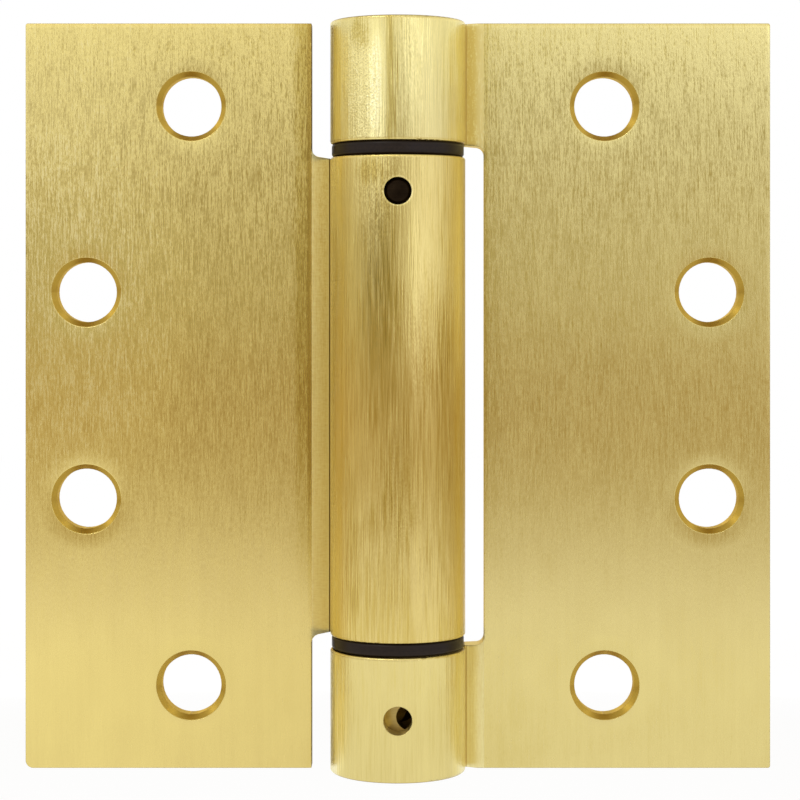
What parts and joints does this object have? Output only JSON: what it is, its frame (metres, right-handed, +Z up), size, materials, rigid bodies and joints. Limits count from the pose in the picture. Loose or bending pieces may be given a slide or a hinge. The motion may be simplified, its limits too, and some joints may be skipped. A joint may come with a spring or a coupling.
{
  "type": "spring hinge",
  "caption": "Spring loaded butt hinge for a door: flat screw leaves with rolled knuckles, black bearings and a torsion spring that an adjusting plug winds to close the door.",
  "frame": {"origin": "on the hinge axis at the middle of the hinge's height, which is the middle of the open hinge", "axes": "+Z up along the hinge axis, +Y away from the countersunk faces towards door and frame, +X towards the leaf with the end knuckles; open flat"},
  "size_m": [0.1142, 0.0206, 0.1142],
  "materials": {
    "satin_brass_plate": "satin brass plate on steel, brushed along the hinge axis",
    "turned_plug_plate": "brass plate on turned steel",
    "black_nylon": "satin black",
    "blackened_steel": "blackened",
    "plain_steel": "turned, bare",
    "spring_steel": "oiled spring wire"
  },
  "bodies": {
    "knuckle_leaf": {"knuckle_leaf": "satin_brass_plate", "upper_bearing": "black_nylon", "top_plug": "turned_plug_plate"},
    "barrel_leaf": {"barrel_leaf": "satin_brass_plate", "lower_bearing": "black_nylon", "anchor_spindle": "plain_steel", "anchor_pin": "blackened_steel", "torsion_spring": "spring_steel"},
    "tension_plug": {"tension_plug": "turned_plug_plate", "retaining_ring": "spring_steel"}
  },
  "joints": [
    {"name": "leaf_swing", "type": "hinge", "parent": "knuckle_leaf", "child": "barrel_leaf", "pos_m": [0, 0, 0], "axis": [0, 0, 1], "range_deg": [0, 180]},
    {"name": "tension_wind", "type": "hinge", "parent": "barrel_leaf", "child": "tension_plug", "pos_m": [0, 0, 0], "axis": [0, 0, 1], "range_deg": [0, 240], "stiffness_Nm_per_rad": 0.85, "deforming": ["torsion_spring"]}
  ]
}
